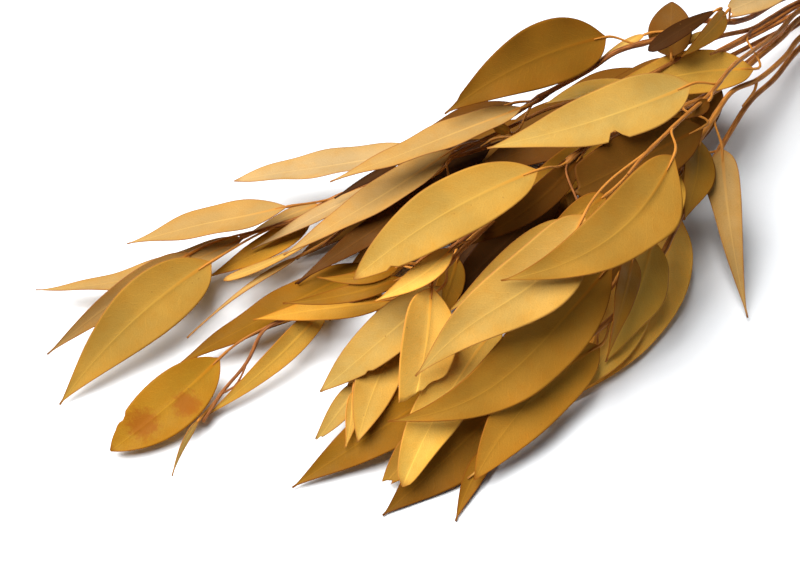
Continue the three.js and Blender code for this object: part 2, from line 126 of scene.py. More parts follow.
# Colours of the dried leaves, linear. Some are partly painted light: 'bright' and 'glowing' are lighter
# for leaves that the lamp leaves in shade, and 'dark' is a very dark brown, partly real, partly painted
# shade, for leaves deep in the gaps.
TONES = {
    "pale": (0.53, 0.35, 0.155),
    # Painted light: lighter tones for leaves that lie in shade here
    "bright": (0.82, 0.49, 0.095),
    "glowing": (0.93, 0.54, 0.110),
    "straw": (0.58, 0.35, 0.085),
    "sunny": (0.56, 0.31, 0.050),
    "tan": (0.45, 0.27, 0.088),
    "khaki": (0.46, 0.29, 0.072),
    "gold": (0.50, 0.295, 0.060),
    "mellow": (0.45, 0.255, 0.045),
    "honey": (0.52, 0.26, 0.030),
    "toffee": (0.46, 0.22, 0.026),
    "fawn": (0.39, 0.205, 0.032),
    "ochre": (0.37, 0.18, 0.022),
    "amber": (0.29, 0.13, 0.008),
    "olive": (0.27, 0.12, 0.011),
    "brown": (0.17, 0.071, 0.009),
    "umber": (0.12, 0.045, 0.005),
    # Partly painted shade: for leaves deep in the gaps between others
    "dark": (0.055, 0.02, 0.004),
    "rust": (0.34, 0.165, 0.012),
}

# Each branch as in the imported model, with what only shows: tone, rust, spots, shade (painted shade),
# slant, bites and lobes. Eight leaves stand up to 2.5 mm higher or lower, so that fewer blades of one
# branch cross.
BRANCHES = [
    dict(
        name="branch_1",
        slot=(0, 2),
        cut_end=(66, -2, 15),
        radius=(1.9, 0.8),
        young=0.5,
        route=[
            (-114, -3, 36), (-150, -14, 48), (-190, -25, 66), (-221, -34, 80), (-256, -46, 90),
            (-284, -51, 95), (-325, -58, 98), (-338, -61, 98),
        ],
        twigs=[],
        leaves=[
            dict(
                base=(-368, -59, 88), tip=(-483, -53, 46), wide=36,
                roll=28, bow=8, sway=-5, hook=-4, tone="straw", shade=0.1,
            ),
            dict(
                base=(-310, -68, 98), tip=(-428, -58, 82), wide=34,
                roll=32, bow=6, sway=-15, tone="fawn", lobe=(-1, 0.45),
            ),
            dict(
                base=(-258, -35, 92), tip=(-369, 12, 84), wide=34,
                roll=18, bow=7, sway=-6, tone="khaki", bites=((-1, 0.45, 0.03, 0.38),),
            ),
            dict(base=(-261, -50, 92), tip=(-276, -47, 86), wide=8, roll=40, bow=2, tone="umber"),
            dict(base=(-347, -55, 84), tip=(-390, -49, 76), wide=14, roll=40, bow=2, tone="ochre"),
        ],
    ),
    dict(
        name="branch_2",
        slot=(2, 2),
        cut_end=(58, 10, 14),
        radius=(1.7, 1.3),
        young=0.05,
        route=[
            (-127, 2, 50), (-168, -4, 64), (-186, -4, 72), (-208, 5, 80), (-237, 7, 84),
            (-263, 16, 84), (-281, 19, 80), (-306, 26, 74), (-334, 33, 66),
        ],
        twigs=[],
        leaves=[
            dict(
                base=(-263, 24, 90), tip=(-369, 45, 86), wide=36,
                roll=38, bow=6, sway=6, fold=0.12, tone="olive", shade=0.1,
                bites=((1, 0.93, 0.02, 0.4),),
            ),
            dict(base=(-239, 16, 82), tip=(-267, 25, 74), wide=5, roll=20, bow=2, tone="straw"),
            dict(
                base=(-234, -1, 73), tip=(-218, 16, 94), wide=26,
                roll=25, bow=2, outline=(0.6, 0.75), tone="brown",
            ),
            dict(
                base=(-207, -8, 97), tip=(-256, -1, 92), wide=10,
                roll=15, bow=2, outline=(0.9, 0.5), tone="dark",
            ),
            dict(
                base=(-201, -10, 92), tip=(-236, -9, 80), wide=16,
                roll=75, bow=2, outline=(0.35, 1.2), tone="toffee",
            ),
            dict(
                base=(-115, 2, 64), tip=(-191, -1, 80), wide=18,
                roll=15, bow=4, sway=-4, outline=(0.65, 0.5), torn=0.95, tone="pale",
            ),
            dict(base=(-208, -4, 78), tip=(-231, 2, 74), wide=5, roll=20, bow=1),
            dict(
                base=(-323, 36, 70), tip=(-394, 62, 58), wide=24,
                roll=-28, bow=3, sway=2, tone="umber",
            ),
            dict(base=(-328, 25, 78), tip=(-434, 67, 62), wide=22, roll=-8, bow=5, sway=-5, tone="tan"),
            dict(base=(-339, 24, 66), tip=(-346, 35, 76), wide=7, roll=70, bow=2, tone="honey"),
        ],
    ),
    dict(
        name="branch_3",
        slot=(3, 1),
        cut_end=(72, 15, 10),
        radius=(1.7, 0.9),
        young=0.25,
        route=[
            (-94, 10, 20), (-131, 7, 28), (-191, 9, 36), (-267, 20, 42), (-331, 38, 42),
            (-387, 61, 39), (-423, 76, 34), (-445, 81, 30), (-477, 96, 26),
        ],
        twigs=[],
        leaves=[
            dict(
                base=(-449, 86, 38), tip=(-527, 133, 28), wide=26,
                roll=-8, bow=4, sway=-3, outline=(0.85, 1.35), back=25, tone="tan", stalk=0.6,
            ),
            dict(
                base=(-472, 98, 20), tip=(-576, 156, 8), wide=24,
                roll=-15, bow=2, sway=-15, tone="tan",
            ),
            dict(
                base=(-502, 108, 22), tip=(-599, 114, 9), wide=16,
                roll=44, bow=3, sway=3, tone="tan", shade=0.4,
            ),
            dict(
                base=(-501, 91, 28), tip=(-612, 87, 2), wide=34,
                roll=34, bow=6, sway=6, tone="mellow", spots=0.5,
            ),
            dict(base=(-438, 79, 26), tip=(-501, 98, 8), wide=17, roll=5, bow=3, sway=-4, tone="honey"),
            dict(
                base=(-442, 69, 20), tip=(-500, 83, 18), wide=6,
                bow=2, sway=-3, outline=(1.3, 0.45), tone="straw",
            ),
            dict(base=(-427, 85, 24), tip=(-469, 101, 16), wide=9, bow=2, tone="tan", shade=0.3),
            dict(
                base=(-402, 65, 38), tip=(-476, 87, 22), wide=15,
                roll=-20, bow=3, sway=-5, tone="pale", shade=0.25,
            ),
            dict(base=(-330, 46, 37), tip=(-425, 54, 19), wide=26, roll=-5, bow=5, tone="dark"),
        ],
    ),
    dict(
        name="branch_4",
        slot=(1, 1),
        cut_end=(55, 5, 11),
        radius=(1.7, 0.7),
        young=0.3,
        route=[
            (-106, 4, 33), (-140, -1, 45), (-165, -5, 54), (-198, -3, 66), (-223, -2, 68),
            (-255, 3, 66), (-279, 11, 64), (-304, 26, 60), (-325, 33, 56), (-356, 43, 50),
            (-393, 54, 42), (-429, 56, 34), (-448, 59, 26),
        ],
        twigs=[
            dict(
                radius=(1.1, 0.7),
                route=[(-165, -5, 54), (-177, -11, 60), (-200, -14, 67), (-215, -14, 72)],
            ),
        ],
        leaves=[
            dict(base=(-249, 5, 53), tip=(-299, 35, 53), wide=29, roll=-20, bow=3, sway=1, shade=0.1),
            dict(
                base=(-195, -32, 60), tip=(-287, 13, 60), wide=28,
                roll=20, bow=3, sway=5, tone="sunny",
            ),
            dict(base=(-367, 40, 60), tip=(-468, 69, 26), wide=23, roll=-5, bow=4, sway=-4, tone="tan"),
            dict(
                base=(-365, 55, 46), tip=(-451, 132, 24), wide=30,
                roll=-18, bow=3, sway=-2, outline=(0.65, 0.85), tone="pale",
            ),
            dict(base=(-388, 62, 47), tip=(-428, 71, 41), wide=5, roll=20, bow=2, tone="dark"),
            dict(base=(-372, 45, 42), tip=(-473, 52, 20), wide=6, roll=8, bow=4, sway=-3, tone="dark"),
            dict(
                base=(-379, 34, 44), tip=(-477, 49, 26), wide=16,
                roll=12, bow=3, tone="umber", shade=0.2,
            ),
            dict(
                base=(-457, 70, 15), tip=(-536, 72, 8), wide=5,
                roll=-10, bow=3, sway=1, outline=(0.5, 1.8), tone="tan",
            ),
            dict(base=(-299, -15, 62), tip=(-392, -8, 48), wide=22, roll=30, bow=4, tone="ochre"),
            dict(base=(-277, -7, 61), tip=(-366, 29, 47), wide=30, roll=10, bow=4, tone="umber"),
        ],
    ),
    dict(
        name="branch_5",
        slot=(-1, 1),
        cut_end=(68, -5, 9),
        radius=(1.7, 0.8),
        young=0.05,
        route=[
            (-109, -2, 22), (-214, -11, 34), (-296, -8, 38), (-369, 0, 40), (-421, 1, 41),
            (-453, 7, 36), (-481, 27, 26), (-498, 38, 21), (-507, 41, 18), (-526, 33, 14),
            (-547, 29, 10), (-565, 23, 7),
        ],
        twigs=[
            dict(
                radius=(0.6, 0.6),
                route=[(-526, 33, 14), (-531, 30, 13), (-540, 27, 11), (-548, 29, 10)],
            ),
        ],
        leaves=[
            dict(
                base=(-449, 1, 32), tip=(-508, 48, 22), wide=15,
                roll=20, bow=4, sway=-1, tone="honey",
            ),
            dict(
                base=(-434, 35, 20), tip=(-554, 61, 8), wide=24,
                roll=-2, bow=3, tone="amber", shade=0.3,
            ),
            dict(
                base=(-470, 30, 20), tip=(-560, 26, 5), wide=14,
                roll=40, bow=4, sway=-2, outline=(0.5, 1.1), tone="sunny",
            ),
            dict(
                base=(-535, 44, 16), tip=(-612, 42, 6), wide=31,
                roll=22, bow=4, sway=-2, outline=(0.75, 0.8), back=30, tone="rust", stalk=0.45,
                rust=0.6, spots=0.6, bites=((1, 0.8, 0.03, 0.14), (1, 0.9, 0.012, 0.1),),
            ),
            dict(base=(-567, 24, 9), tip=(-597, 10, 2), wide=5, roll=70, bow=1, sway=4, tone="straw"),
            dict(
                base=(-334, -12, 44), tip=(-444, -19, 28), wide=24,
                roll=28, bow=4, tone="dark", shade=0.15,
            ),
            dict(base=(-230, -6, 44), tip=(-335, -22, 32), wide=32, roll=15, bow=5, tone="brown"),
            dict(base=(-330, -12, 38), tip=(-430, -30, 22), wide=30, roll=20, bow=5, tone="brown"),
        ],
    ),
    dict(
        name="branch_6",
        slot=(-3, 1),
        cut_end=(60, -14, 10),
        radius=(1.8, 1.1),
        young=0.7,
        route=[
            (-123, -13, 26), (-149, -22, 34), (-190, -32, 48), (-215, -33, 56), (-238, -40, 58),
            (-258, -46, 56), (-277, -51, 54), (-311, -66, 50), (-335, -73, 45), (-362, -77, 38),
        ],
        twigs=[
            dict(
                radius=(1, 0.6),
                route=[(-192, -33, 48), (-197, -36, 47), (-208, -37, 42)],
            ),
        ],
        leaves=[
            dict(
                base=(-249, -56, 50), tip=(-298, -125, 3), wide=17,
                roll=-15, bow=5, sway=2, outline=(0.35, 1.25), tone="tan", lobe=(1, 0.35),
            ),
            dict(base=(-259, -47, 58), tip=(-300, -74, 44), wide=26, roll=45, bow=3, tone="ochre"),
            dict(
                base=(-358, -73, 54), tip=(-507, -58, 34), wide=38,
                roll=36, bow=6, sway=-15, hook=3, tone="ochre",
            ),
            dict(
                base=(-323, -72, 44), tip=(-385, -98, 14), wide=34,
                roll=45, bow=5, outline=(0.5, 1.25), tone="sunny",
            ),
            dict(
                base=(-344, -76, 50), tip=(-399, -109, 38), wide=18,
                roll=50, bow=3, sway=2, outline=(0.4, 1.4), tone="olive",
            ),
            dict(base=(-288, -58, 59), tip=(-360, -75, 51), wide=25, roll=30, bow=4, tone="sunny"),
        ],
    ),
    dict(
        name="branch_7",
        slot=(-2, 0),
        cut_end=(74, -10, 5),
        radius=(1.8, 1.1),
        young=0.35,
        route=[
            (-121, -13, 16), (-162, -25, 25), (-192, -31, 31), (-228, -43, 33), (-279, -61, 34),
            (-345, -84, 30), (-409, -86, 26), (-444, -81, 22),
        ],
        twigs=[],
        leaves=[
            dict(
                base=(-288, -62, 28), tip=(-420, -93, 3), wide=38,
                roll=30, bow=3, sway=-10, outline=(0.45, 1), tone="glowing",
            ),
            dict(
                base=(-333, -70, 32), tip=(-410, -98, 7), wide=29,
                roll=35, bow=3, sway=-7, tone="bright", shade=0.15,
            ),
            dict(
                base=(-384, -92, 22), tip=(-487, -102, 9), wide=35,
                roll=36, bow=3, sway=8, outline=(0.65, 0.9), tone="toffee", shade=0.12,
            ),
            dict(
                base=(-391, -94, 12), tip=(-487, -97, 4.5), wide=11,
                roll=25, bow=2, sway=-1, tone="straw",
            ),
            dict(
                base=(-462, -91, 4), tip=(-508, -110, 1), wide=11,
                roll=15, bow=0.5, sway=2, outline=(0.6, 1.25), tone="olive",
            ),
            dict(
                base=(-441, -78, 12), tip=(-533, -82, 1), wide=35,
                roll=26, bow=2, sway=-1, tone="olive", shade=0.45,
            ),
            dict(
                base=(-418, -50, 33), tip=(-519, -82, 13), wide=28,
                roll=32, bow=4, sway=5, outline=(0.5, 0.5), tone="bright", bites=((-1, 1, 0.34, 0.3),),
            ),
            dict(
                base=(-459, -54, 18), tip=(-556, -38, 2), wide=28,
                roll=20, bow=3, tone="amber", shade=0.15,
            ),
            dict(
                base=(-483, -66, 11.5), tip=(-526, -71, 4), wide=18,
                roll=25, bow=2, torn=0.85, tone="fawn",
            ),
            dict(base=(-258, -38, 34), tip=(-355, -62, 8), wide=34, roll=25, bow=5, tone="brown"),
        ],
    ),
    dict(
        name="branch_8",
        slot=(-2, 2),
        cut_end=(62, -10, 15),
        radius=(1.8, 1.1),
        young=0.5,
        route=[
            (-115, -5, 31), (-143, -13, 39), (-170, -18, 45), (-215, -24, 52), (-274, -22, 64),
            (-328, -21, 80), (-345, -20, 76), (-387, -16, 66), (-426, -19, 62), (-438, -15, 48),
            (-454, -16, 32), (-464, -19, 23),
        ],
        twigs=[
            dict(
                radius=(0.9, 0.9),
                route=[(-426, -19, 62), (-433, -19, 61), (-445, -22, 64)],
            ),
        ],
        leaves=[
            dict(
                base=(-449, -7, 57), tip=(-501, 30, 46), wide=10,
                roll=25, bow=2, sway=-3, tone="amber", shade=0.1,
            ),
            dict(
                base=(-446, -2, 60), tip=(-480, 26, 54), wide=8,
                roll=30, bow=3, sway=-4, tone="amber",
            ),
            dict(
                base=(-263, -51, 74), tip=(-397, -26, 72), wide=33,
                roll=35, bow=4, torn=0.64, tone="brown", shade=0.4,
            ),
            dict(
                base=(-366, -23, 92), tip=(-478, -1, 74), wide=33,
                roll=22, bow=7, sway=4, outline=(0.6, 0.8), bites=((-1, 0.834, 0.012, 0.2),),
            ),
            dict(
                base=(-426, -21, 74), tip=(-473, -12, 62), wide=13,
                roll=18, bow=3, sway=-3, tone="glowing",
            ),
            dict(
                base=(-444, -24, 60), tip=(-505, -68, 27), wide=34,
                roll=38, bow=4, sway=-1, torn=0.72, stalk=0.7, tone="glowing", slant=0.08,
                bites=((-1, 0.74, 0.14, 0.5),),
            ),
            dict(
                base=(-433, -21, 49), tip=(-513, -12, 20), wide=27,
                roll=6, bow=4, sway=-2, outline=(0.65, 0.95), tone="khaki", spots=0.7,
                bites=((-1, 0.7, 0.014, 0.13),),
            ),
            dict(
                base=(-462, -17, 24.5), tip=(-519, -48, 17.5), wide=23,
                roll=10, bow=3, sway=2, outline=(0.6, 0.95), tone="gold",
            ),
            dict(base=(-502, -26, 24), tip=(-524, -44, 13), wide=8, roll=35, bow=2, tone="glowing"),
            dict(
                base=(-492, -22, 20), tip=(-534, -29, 8), wide=12,
                roll=20, bow=2, torn=0.88, tone="khaki",
            ),
            dict(
                base=(-329, -22, 78), tip=(-417, -11, 58), wide=16,
                roll=40, bow=4, sway=-6, tone="umber",
            ),
            dict(
                base=(-363, -47, 70), tip=(-443, -35, 48), wide=18,
                roll=25, bow=4, tone="gold", stalk=0.1,
            ),
            dict(base=(-411, -10, 46), tip=(-446, -27, 28), wide=16, roll=35, bow=2, tone="honey"),
        ],
    ),
    dict(
        name="branch_9",
        slot=(0, 0),
        cut_end=(70, 1, 4),
        radius=(1.7, 0.9),
        young=0.1,
        route=[
            (-60, -1, 7), (-120, 3, 19), (-220, 9, 30), (-320, 15, 32), (-420, 15, 25),
        ],
        twigs=[],
        leaves=[
            dict(base=(-362, 6, 23), tip=(-417, 3, 11), wide=23, roll=10, bow=4, tone="dark"),
            dict(base=(-190, -2, 29), tip=(-285, -28, 12), wide=32, roll=10, bow=5, tone="brown"),
            dict(base=(-195, 16, 33), tip=(-290, 32, 18), wide=28, roll=-8, bow=5, tone="brown"),
            dict(base=(-240, -8, 30), tip=(-345, -40, 8), wide=34, roll=15, bow=5, tone="brown"),
            dict(base=(-262, 28, 36), tip=(-360, 48, 17), wide=32, roll=-10, bow=5, tone="brown"),
            dict(base=(-312, 0, 29), tip=(-415, -24, 6), wide=34, roll=10, bow=5, tone="brown"),
            dict(base=(-342, 30, 32), tip=(-440, 46, 11), wide=30, roll=-5, bow=5, tone="brown"),
            dict(base=(-402, 4, 25), tip=(-500, -14, 4), wide=30, roll=10, bow=5, tone="brown"),
        ],
    ),
    dict(
        name="branch_10",
        slot=(2, 0),
        cut_end=(60, 9, 6),
        radius=(1.7, 0.9),
        young=0.2,
        route=[
            (-60, 10, 7), (-120, 17, 9), (-220, 30, 12), (-320, 44, 12), (-400, 54, 9),
        ],
        twigs=[],
        leaves=[
            dict(base=(-200, 36, 13), tip=(-300, 58, 4.5), wide=32, roll=-8, bow=5, tone="brown"),
            dict(base=(-232, 24, 12), tip=(-330, 20, 4), wide=28, roll=5, bow=5, tone="brown"),
            dict(base=(-282, 50, 13.5), tip=(-375, 70, 3.5), wide=32, roll=-8, bow=5, tone="brown"),
            dict(base=(-312, 36, 12), tip=(-410, 34, 2.5), wide=28, roll=5, bow=5, tone="brown"),
            dict(base=(-362, 62, 10), tip=(-452, 78, 2), wide=30, roll=-6, bow=5, tone="brown"),
            dict(base=(-385, 46, 9), tip=(-468, 32, 2), wide=28, bow=4, tone="brown"),
        ],
    ),
]


def unit(v):
    return v / np.linalg.norm(v)


def array(values):
    return np.array(values, float)


# Lines

def catmull_rom(points, place):
    """Point of the centripetal curve through the points; place counts spans from the first one."""
    span = min(int(place), len(points) - 2)
    f = place - span
    p1, p2 = points[span], points[span + 1]
    p0 = points[span - 1] if span > 0 else 2 * p1 - p2
    p3 = points[span + 2] if span + 2 < len(points) else 2 * p2 - p1
    d0, d1, d2 = (np.sqrt(np.linalg.norm(b - a)) for a, b in ((p0, p1), (p1, p2), (p2, p3)))
    t1 = ((p1 - p0) / d0 - (p2 - p0) / (d0 + d1) + (p2 - p1) / d1) * d1
    t2 = ((p2 - p1) / d1 - (p3 - p1) / (d1 + d2) + (p3 - p2) / d2) * d1
    square = (-3 * p1 + 3 * p2 - 2 * t1 - t2) * f * f
    return p1 + t1 * f + square + (2 * p1 - 2 * p2 + t1 + t2) * f ** 3


def samples(points, count):
    spans = len(points) - 1
    return array([catmull_rom(points, spans * k / count) for k in range(count + 1)])


def even_rings(points, step):
    """Points along the curve, about a step apart, with every given point kept."""
    places = [0.0]
    for span in range(len(points) - 1):
        pieces = max(1, round(np.linalg.norm(points[span + 1] - points[span]) / step))
        places += [span + (k + 1) / pieces for k in range(pieces)]
    return array([catmull_rom(points, place) for place in places])


def stem_place(slot):
    column, row = slot
    return column * STEM_PITCH / 2, LOWEST_ROW + row * ROW_RISE


def stem_points(branch):
    y, z = stem_place(branch["slot"])
    first = array(branch["route"][0])
    ease = array([
        -HALF_TIE + (first[0] + HALF_TIE) * EASE,
        y + (first[1] - y) * EASE_TURN,
        z + (first[2] - z) * EASE_TURN,
    ])
    straight = [array([HALF_TIE, y, z]), array([-HALF_TIE, y, z])]
    return [array(branch["cut_end"])] + straight + [ease] + [array(p) for p in branch["route"]]


def run_lengths(line):
    return np.concatenate([[0.0], np.cumsum(np.linalg.norm(np.diff(line, axis=0), axis=1))])


# Meshes

class Surface:
    """Vertices in millimetres, faces, and named values for each vertex."""

    def __init__(self):
        self.points = []
        self.faces = []
        self.values = {}
        self.count = 0

    def add(self, points, faces, **values):
        self.faces += [[k + self.count for k in face] for face in faces]
        self.points.append(points)
        self.count += len(points)
        for name, value in values.items():
            self.values.setdefault(name, []).append(np.broadcast_to(value, (len(points), 3)))

    def build(self, name, material, node):
        mesh = bpy.data.meshes.new(name)
        mesh.from_pydata((np.concatenate(self.points) * MM).tolist(), [], self.faces)
        for key, rows in self.values.items():
            layer = mesh.attributes.new(key, "FLOAT_VECTOR", "POINT")
            layer.data.foreach_set("vector", np.concatenate(rows).astype(np.float32).ravel())
        mesh.polygons.foreach_set("use_smooth", [True] * len(mesh.polygons))
        mesh.materials.append(material)
        mesh.update()
        piece = bpy.data.objects.new(name, mesh)
        bpy.context.scene.collection.objects.link(piece)
        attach(piece, "root")
        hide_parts(node)
        return piece


def tube_faces(rings, sides):
    faces = []
    for ring in range(rings - 1):
        for side in range(sides):
            a, b = ring * sides + side, ring * sides + (side + 1) % sides
            faces.append([a, b, b + sides, a + sides])
    faces.append(list(range(sides))[::-1])
    faces.append([(rings - 1) * sides + side for side in range(sides)])
    return faces


def add_tube(surface, line, radii, sides, young):
    """A closed tube along a line. young goes from 0 for dark bark to 1 for a golden leaf stalk."""
    tangents = np.gradient(line, axis=0)
    tangents /= np.linalg.norm(tangents, axis=1)[:, None]
    side = unit(np.cross(tangents[0], [0.0, 0.3, 1.0]))
    angles = np.arange(sides) * 2 * math.pi / sides
    lengths = run_lengths(line)
    points, places = [], []
    for centre, tangent, radius, length in zip(line, tangents, radii, lengths):
        side = unit(side - tangent * (side @ tangent))
        rise = np.cross(side, tangent)
        ring = centre + radius * (np.outer(np.cos(angles), side) - np.outer(np.sin(angles), rise))
        points.append(ring)
        places.append(np.stack([angles * 0 + length, angles, angles * 0 + radius], axis=1))
    surface.add(np.concatenate(points), tube_faces(len(line), sides),
                wood_place=np.concatenate(places), wood_kind=(young, surface.count * 0.001, 0.0))


# Leaves

def leaf_frame(leaf):
    base = array(leaf["base"])
    span = array(leaf["tip"]) - base
    along = unit(span)
    across = unit(np.cross(along, UP))
    face = np.cross(across, along)
    roll = math.radians(leaf.get("roll", 0))
    return dict(
        base=base,
        span=span,
        along=along,
        across=across * math.cos(roll) + face * math.sin(roll),
        face=face * math.cos(roll) - across * math.sin(roll),
        length=float(np.linalg.norm(span)),
    )


def midrib(leaf, frame_, s):
    s = np.atleast_1d(s)[..., None]
    arch = 4 * s * (1 - s)
    lifted = frame_["face"] * leaf.get("bow", 0) * arch
    sideways = leaf.get("sway", 0) * arch + leaf.get("hook", 0) * np.sin(2 * math.pi * s)
    return frame_["base"] + frame_["span"] * s + lifted + frame_["across"] * sideways


def half_width(leaf, s):
    at_base, at_tip = leaf.get("outline", OUTLINE)
    widest = at_base / (at_base + at_tip)
    share = (s / widest) ** at_base * (np.clip(1 - s, 0, 1) / (1 - widest)) ** at_tip
    share = share * (1 - FOOT_NARROW * np.exp(-s / FOOT_REACH))
    return np.maximum(leaf["wide"] / 2 * share, LEAST_HALF_WIDTH)


def leaf_columns(half, s):
    """Distances from the midrib of the blade's lengthwise lines: fine at the rib, wider to the edge."""
    rib = np.minimum(MIDRIB_HALF * (MIDRIB_TAPER - s), MIDRIB_SHARE * half)
    outer = rib[..., None] + (half - rib)[..., None] * np.array(COLUMNS)
    return np.concatenate([np.zeros_like(half)[..., None], outer], axis=-1)


def bitten(leaf, half, s, side):
    """Half width on one side: a bite is (side, place, width, depth), a lobe (side, how much fuller)."""
    for bite_side, place, width, depth in leaf.get("bites", ()):
        if bite_side == side:
            half = half * (1 - depth * np.exp(-(((s - place) / width) ** 4)))
    lobe_side, fuller = leaf.get("lobe", (0, 0))
    if lobe_side == side:
        half = half * (1 + fuller * np.exp(-(((s - LOBE_PLACE) / LOBE_REACH) ** 2)))
    return half


def blade_grid(leaf, rng):
    """Places s along and x across the leaf for every vertex of one face, and the half widths."""
    torn = leaf.get("torn", 1.0)
    part = np.linspace(0, 1, LEAF_ROWS + 1)
    s = torn * part ** ROW_SPREAD
    left = leaf_columns(bitten(leaf, half_width(leaf, s), s, -1), s)
    right = leaf_columns(bitten(leaf, half_width(leaf, s), s, 1), s)
    x = np.concatenate([-left[:, :0:-1], right], axis=1)
    half = np.where(x < 0, left[:, -1:], right[:, -1:])
    s = np.repeat(s[:, None], x.shape[1], axis=1)
    if torn < 1:
        slant = leaf.get("slant", TEAR_SLANT * rng.uniform(-1, 1)) * np.linspace(-1, 1, x.shape[1])
        turns = rng.uniform(-JAG, JAG, TEAR_TURNS)
        jag = np.interp(np.linspace(0, TEAR_TURNS - 1, x.shape[1]), range(TEAR_TURNS), turns)
        slanted = slant[None] * part[:, None] ** SLANT_GROWTH
        s = s * (1 + slanted + jag[None] * part[:, None] ** JAG_GROWTH)
    return s, x, half


def blade_points(leaf, frame_, rng, s, x, half):
    """The middle surface of the blade: folded along the midrib, curled and gently waved."""
    w = x / half
    fold = leaf.get("fold", FOLD) * half * (np.sqrt(w * w + FOLD_ROUND) - 0.5)
    curl = CURL * rng.uniform(*CURL_RANGE) * half * (w * w - CURL_LEVEL)
    waves = frame_["length"] / rng.uniform(*WAVE_LENGTHS)
    ends = np.sin(math.pi * np.clip(s, 0, 1)) ** WAVE_ENDS
    phase = np.where(w < 0, rng.uniform(0, FULL_TURN), rng.uniform(0, FULL_TURN))
    height = WAVE * rng.uniform(*WAVE_RANGE) * min(leaf["wide"] / WAVE_WIDTH, WIDEST_WAVE)
    wave = height * ends * np.abs(w) ** WAVE_GROWTH * np.sin(2 * math.pi * waves * s + phase)
    drift = DRIFT * height * ends * np.sin(2 * math.pi * DRIFT_WAVES * s + rng.uniform(0, FULL_TURN))
    turn = np.radians(rng.uniform(-TWIST, TWIST)) * (s - TWIST_START) * 2
    rise = fold + curl + wave + drift + x * np.sin(turn)
    sideways = frame_["across"] * (x * np.cos(turn))[..., None]
    return midrib(leaf, frame_, s) + sideways + frame_["face"] * rise[..., None]


def grid_faces(rows, columns, start, flip):
    faces = []
    for row in range(rows):
        for column in range(columns):
            a = start + row * (columns + 1) + column
            face = [a, a + 1, a + columns + 2, a + columns + 1]
            faces.append(face[::-1] if flip else face)
    return faces


def rim_loop(rows, columns):
    down = [row * (columns + 1) for row in range(rows + 1)]
    up = [row * (columns + 1) + columns for row in range(rows, -1, -1)]
    bottom = [rows * (columns + 1) + column for column in range(1, columns)]
    top = [column for column in range(columns - 1, 0, -1)]
    return down + bottom + up + top


def add_blade(surface, leaf, frame_, rng, seed):
    s, x, half = blade_grid(leaf, rng)
    middle = blade_points(leaf, frame_, rng, s, x, half)
    rows, columns = s.shape[0] - 1, s.shape[1] - 1
    count = s.size
    rib_half = np.maximum(MIDRIB_HALF * (MIDRIB_TAPER - s), LEAST_RIB_HALF)
    rib = np.clip(1 - np.abs(x) / rib_half, 0, 1)
    thick = LEAF_THICK / 2 + MIDRIB_RISE * rib * (RISE_TAPER - s)
    normal = np.cross(np.gradient(middle, axis=0), np.gradient(middle, axis=1))
    normal /= np.maximum(np.linalg.norm(normal, axis=2), 1e-9)[..., None]
    normal *= np.sign(normal @ frame_["face"])[..., None]
    half_thick = normal * thick[..., None]
    faces = (middle + half_thick, middle - half_thick)
    points = np.concatenate([face.reshape(-1, 3) for face in faces])
    loop = rim_loop(rows, columns)
    rim = [[a, b, b + count, a + count] for a, b in zip(loop, loop[1:] + loop[:1])]
    upper = grid_faces(rows, columns, 0, False)
    under = grid_faces(rows, columns, count, True)
    torn = leaf.get("torn", 1.0)
    edge = half - np.abs(x)
    if torn < 1:
        edge = np.minimum(edge, np.abs(s[-1:] - s) * frame_["length"])
    place = np.stack([x, s * frame_["length"], edge], axis=-1).reshape(-1, 3)
    tone = np.array(TONES[leaf.get("tone", "gold")]) * rng.uniform(*TONE_RANGE)
    kind = np.stack([s * 0 + seed, s, s * 0 + 1], axis=-1).reshape(-1, 3)
    # rust and spots are real marks; the third value is painted shade
    marks_and_shade = (leaf.get("rust", 0.0), leaf.get("spots", SPOTS), leaf.get("shade", 0.0))
    surface.add(points, upper + under + rim,
                leaf_place=np.tile(place, (2, 1)),
                leaf_kind=np.concatenate([kind, kind * [1, 1, 0]]),
                leaf_tone=tone,
                leaf_marks=marks_and_shade)


def stalk_line(leaf, frame_, lines):
    """The leaf stalk from inside the wood to inside the blade, and its root."""
    base = frame_["base"]
    gaps = [np.linalg.norm(line - base, axis=1) for line in lines]
    nearest = min(range(len(lines)), key=lambda k: gaps[k].min())
    line, gap = lines[nearest], gaps[nearest].min()
    root = min(int(gaps[nearest].argmin()), len(line) - 2)
    back = leaf.get("back", STALK_BACK) + STALK_SLANT * gap
    while root > 1 and back > 0:
        back -= np.linalg.norm(line[root] - line[root - 1])
        root -= 1
    leaving = unit(line[root + 1] - line[root - 1])
    arriving = unit(midrib(leaf, frame_, SHORT_WAY)[0] - base)
    reach = np.linalg.norm(line[root] - base)
    a, b = line[root], line[root] + leaving * reach * LEAVING_PULL
    c, d = base - arriving * reach * ARRIVING_PULL, base
    t = np.linspace(0, 1, STALK_RINGS)[:, None]
    bend = a * (1 - t) ** 3 + 3 * b * t * (1 - t) ** 2 + 3 * c * t * t * (1 - t) + d * t ** 3
    sunk = midrib(leaf, frame_, np.array(SUNK_PLACES))
    return np.concatenate([bend, sunk]), line[root]


def stalk_radii(line):
    lengths = run_lengths(line)
    left = lengths[-3] - lengths
    at_root = ROOT_SWELL * np.exp(-((lengths / ROOT_REACH) ** 2))
    at_leaf = LEAF_SWELL * np.exp(-((left / LEAF_REACH) ** 2))
    radii = STALK_RADIUS + at_root + at_leaf
    radii[-2:] = SUNK_RADII
    return radii


def stem_radii(line, ends, roots):
    lengths = run_lengths(line)
    radii = ends[0] + (ends[1] - ends[0]) * lengths / lengths[-1]
    radii *= 1 + THICKER * np.clip((lengths - TIED_LENGTH) / TIED_LENGTH, 0, 1)
    for root in roots:
        away = np.linalg.norm(line - root, axis=1)
        radii *= 1 + KNOT_SWELL * np.exp(-((away / KNOT_REACH) ** 2))
    return radii


